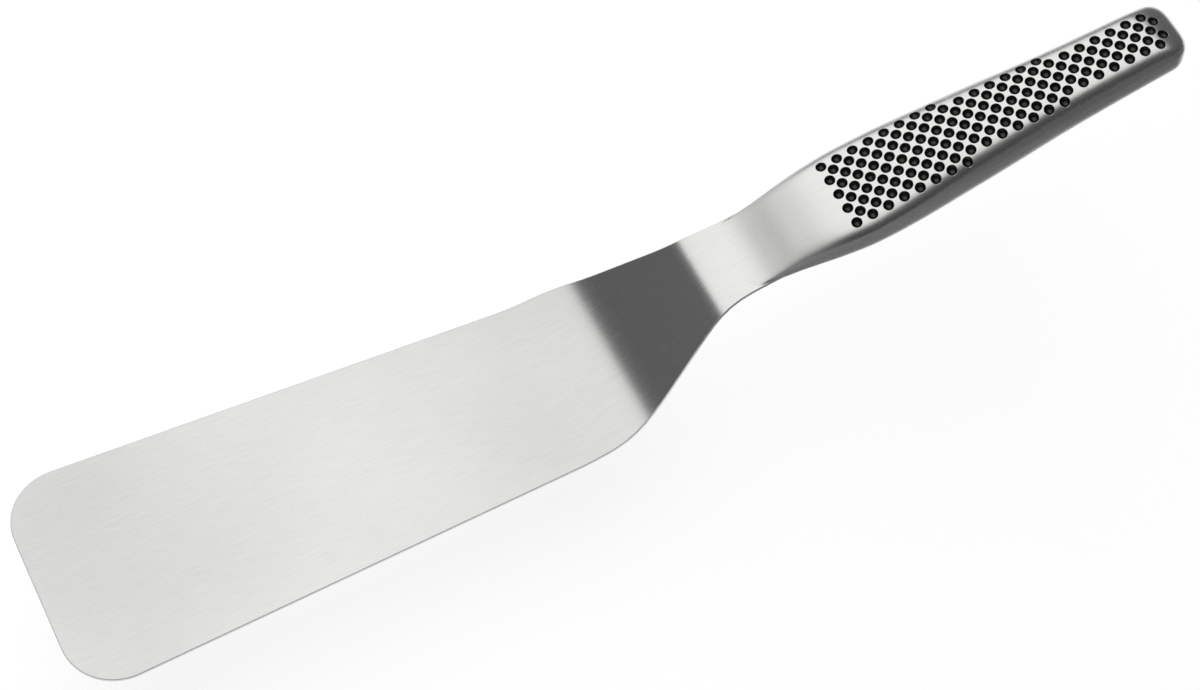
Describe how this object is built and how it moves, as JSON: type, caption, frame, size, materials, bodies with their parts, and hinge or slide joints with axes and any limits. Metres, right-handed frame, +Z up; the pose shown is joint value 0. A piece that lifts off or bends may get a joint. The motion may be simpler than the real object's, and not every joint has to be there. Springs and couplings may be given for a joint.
{
  "type": "flexible spatula",
  "caption": "All-steel flexible spatula: thin tapered blade with rounded corners, cranked shank, and a hollow welded handle with a dimpled grip. The blade springs under load.",
  "frame": {"origin": "below the middle of the whole length, on the plane of the blade's flat underside", "axes": "+X from the blade's front edge to the handle's butt, +Y across the blade, +Z up from the blade's upper face"},
  "size_m": [0.3038, 0.0568, 0.0595],
  "materials": {
    "blade_steel": "satin, finely brushed along its length",
    "handle_steel": "satin, with matt black enamel in the dimples",
    "weld_steel": "ground flush and brushed like the handle"
  },
  "bodies": {
    "handle": {"upper_shell": "handle_steel", "lower_shell": "handle_steel", "seam_weld": "weld_steel", "mouth_weld_upper": "weld_steel", "mouth_weld_lower": "weld_steel"},
    "blade": {"blade": "blade_steel"}
  },
  "joints": [
    {"name": "blade_flex", "type": "hinge", "parent": "handle", "child": "blade", "pos_m": [0.0376, 0, 0.0299], "axis": [0, 1, 0], "range_deg": [-8, 8], "stiffness_Nm_per_rad": 9, "deforming": ["blade"]}
  ]
}
